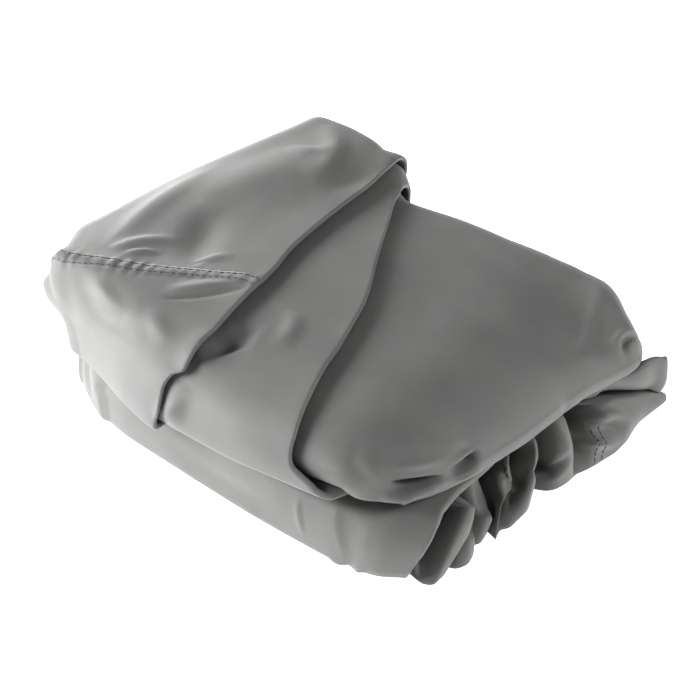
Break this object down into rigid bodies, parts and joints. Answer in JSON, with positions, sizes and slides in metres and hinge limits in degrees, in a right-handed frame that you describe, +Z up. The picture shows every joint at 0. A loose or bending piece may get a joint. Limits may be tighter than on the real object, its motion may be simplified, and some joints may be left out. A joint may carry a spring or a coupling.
{
  "type": "outboard motor cover",
  "caption": "Grey coated-cloth cover for an outboard motor, folded flat into a bundle, with its gathered hem spilling out at one end.",
  "frame": {"origin": "middle of the underside, on the surface that the bundle rests on", "axes": "+X along the bundle towards the gathered hem, +Y from the bundle's front to its back, +Z up"},
  "size_m": [0.3364, 0.2874, 0.1028],
  "materials": {
    "crown_cloth": "coated woven polyester, satin",
    "side_cloth": "coated woven polyester, satin",
    "skirt_cloth": "coated woven polyester, satin"
  },
  "bodies": {
    "root": {"crown_panel": "crown_cloth", "side_panel": "side_cloth", "skirt_panel": "skirt_cloth"}
  },
  "joints": []
}
